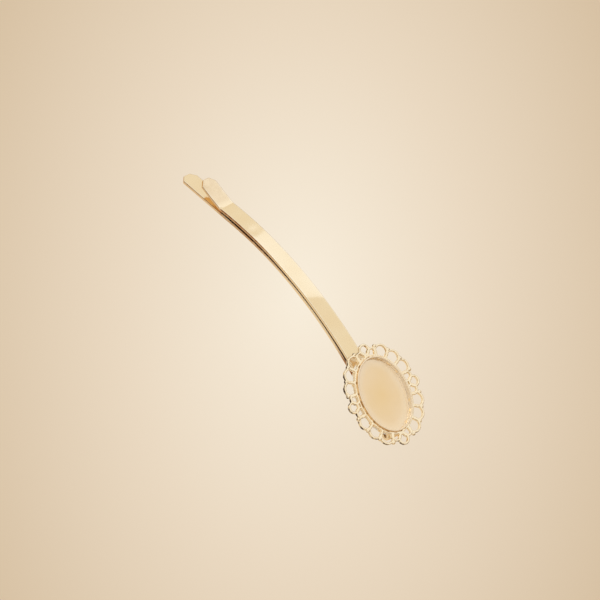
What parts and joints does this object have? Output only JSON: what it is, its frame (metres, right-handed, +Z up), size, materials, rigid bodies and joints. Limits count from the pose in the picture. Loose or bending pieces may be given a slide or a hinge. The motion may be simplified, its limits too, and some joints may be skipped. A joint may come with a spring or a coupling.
{
  "type": "hair grip with oval lace setting",
  "caption": "Flat sprung hair grip, arched and folded from one strip, with an empty oval stone cup in an openwork lace border over its folded end.",
  "frame": {"origin": "centre of the bounding box's bottom: the grip lies arch up, on the round of its fold and on the lower leg's tip", "axes": "+X along the grip from its tips to its lace setting, +Y across the strip, +Z up"},
  "size_m": [0.07, 0.017, 0.0112],
  "materials": {
    "strip_gold": "bright gold-tone plating",
    "lace_gold": "polished gold-tone plating on a cast openwork border",
    "cup_gold": "satin gold-tone plating",
    "solder": "plated solder"
  },
  "bodies": {
    "setting": {"upper_leg": "strip_gold", "spring_bend": "strip_gold", "mounting_pad": "cup_gold", "pad_solder": "solder", "bezel_cup": "cup_gold", "cup_solder": "solder", "lace_border": "lace_gold"},
    "clamp_leg": {"lower_leg": "strip_gold"}
  },
  "joints": [
    {"name": "leg_spring", "type": "hinge", "parent": "setting", "child": "clamp_leg", "pos_m": [0.03084, 0, 0.001], "axis": [0, -1, 0], "range_deg": [0, 10], "stiffness_Nm_per_rad": 0.05, "springref_deg": -2.86}
  ]
}
